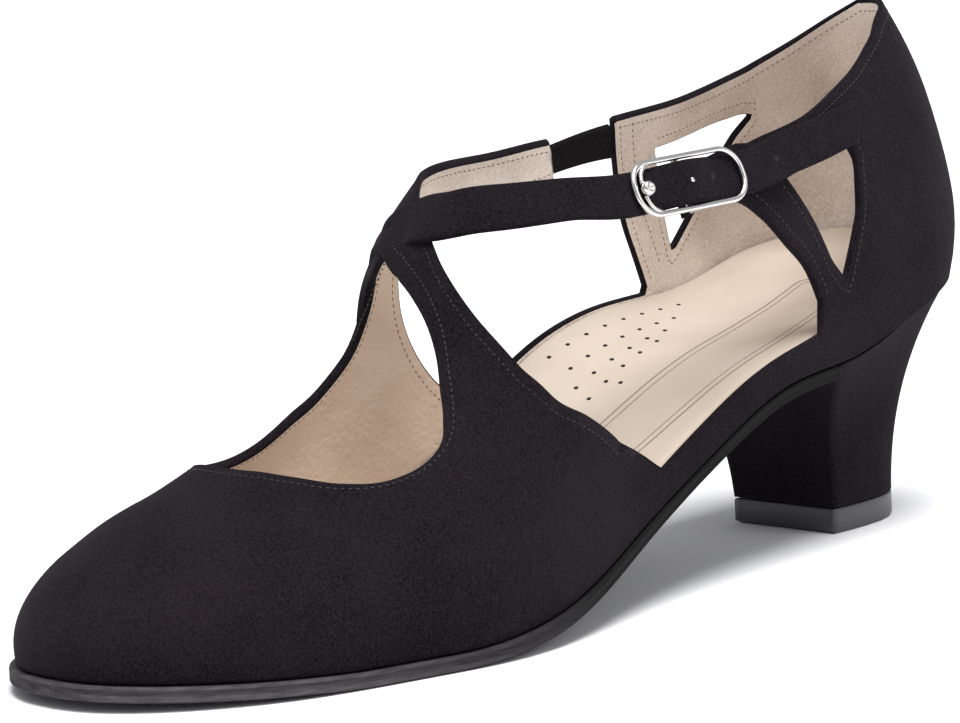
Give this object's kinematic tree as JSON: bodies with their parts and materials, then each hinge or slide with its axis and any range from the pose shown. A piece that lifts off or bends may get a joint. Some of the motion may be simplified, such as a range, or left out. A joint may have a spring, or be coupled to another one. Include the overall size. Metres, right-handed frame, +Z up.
{
  "type": "ballroom dance shoe",
  "caption": "Lady's ballroom dance shoe, left foot: closed toe, crossed instep straps with a side buckle and an elastic, cut-out quarters, open waists and a covered block heel.",
  "frame": {"origin": "on the floor, under the middle of the shoe's box seen from above", "axes": "+X to the outer side of the left foot, +Y from the toe to the heel, +Z up"},
  "size_m": [0.0758, 0.2396, 0.1072],
  "materials": {
    "suede": "black suede, matt nap",
    "elastic_web": "woven black elastic",
    "nickel": "polished nickel plate",
    "sole_leather": "dark sueded sole with a waxed edge",
    "insole_leather": "smooth pale leather",
    "top_piece": "satin dark grey"
  },
  "bodies": {
    "root": {"upper": "suede", "elastic": "elastic_web", "buckle": "nickel", "outsole": "sole_leather", "insole": "insole_leather", "heel_block": "suede", "heel_top_piece": "top_piece"}
  },
  "joints": []
}
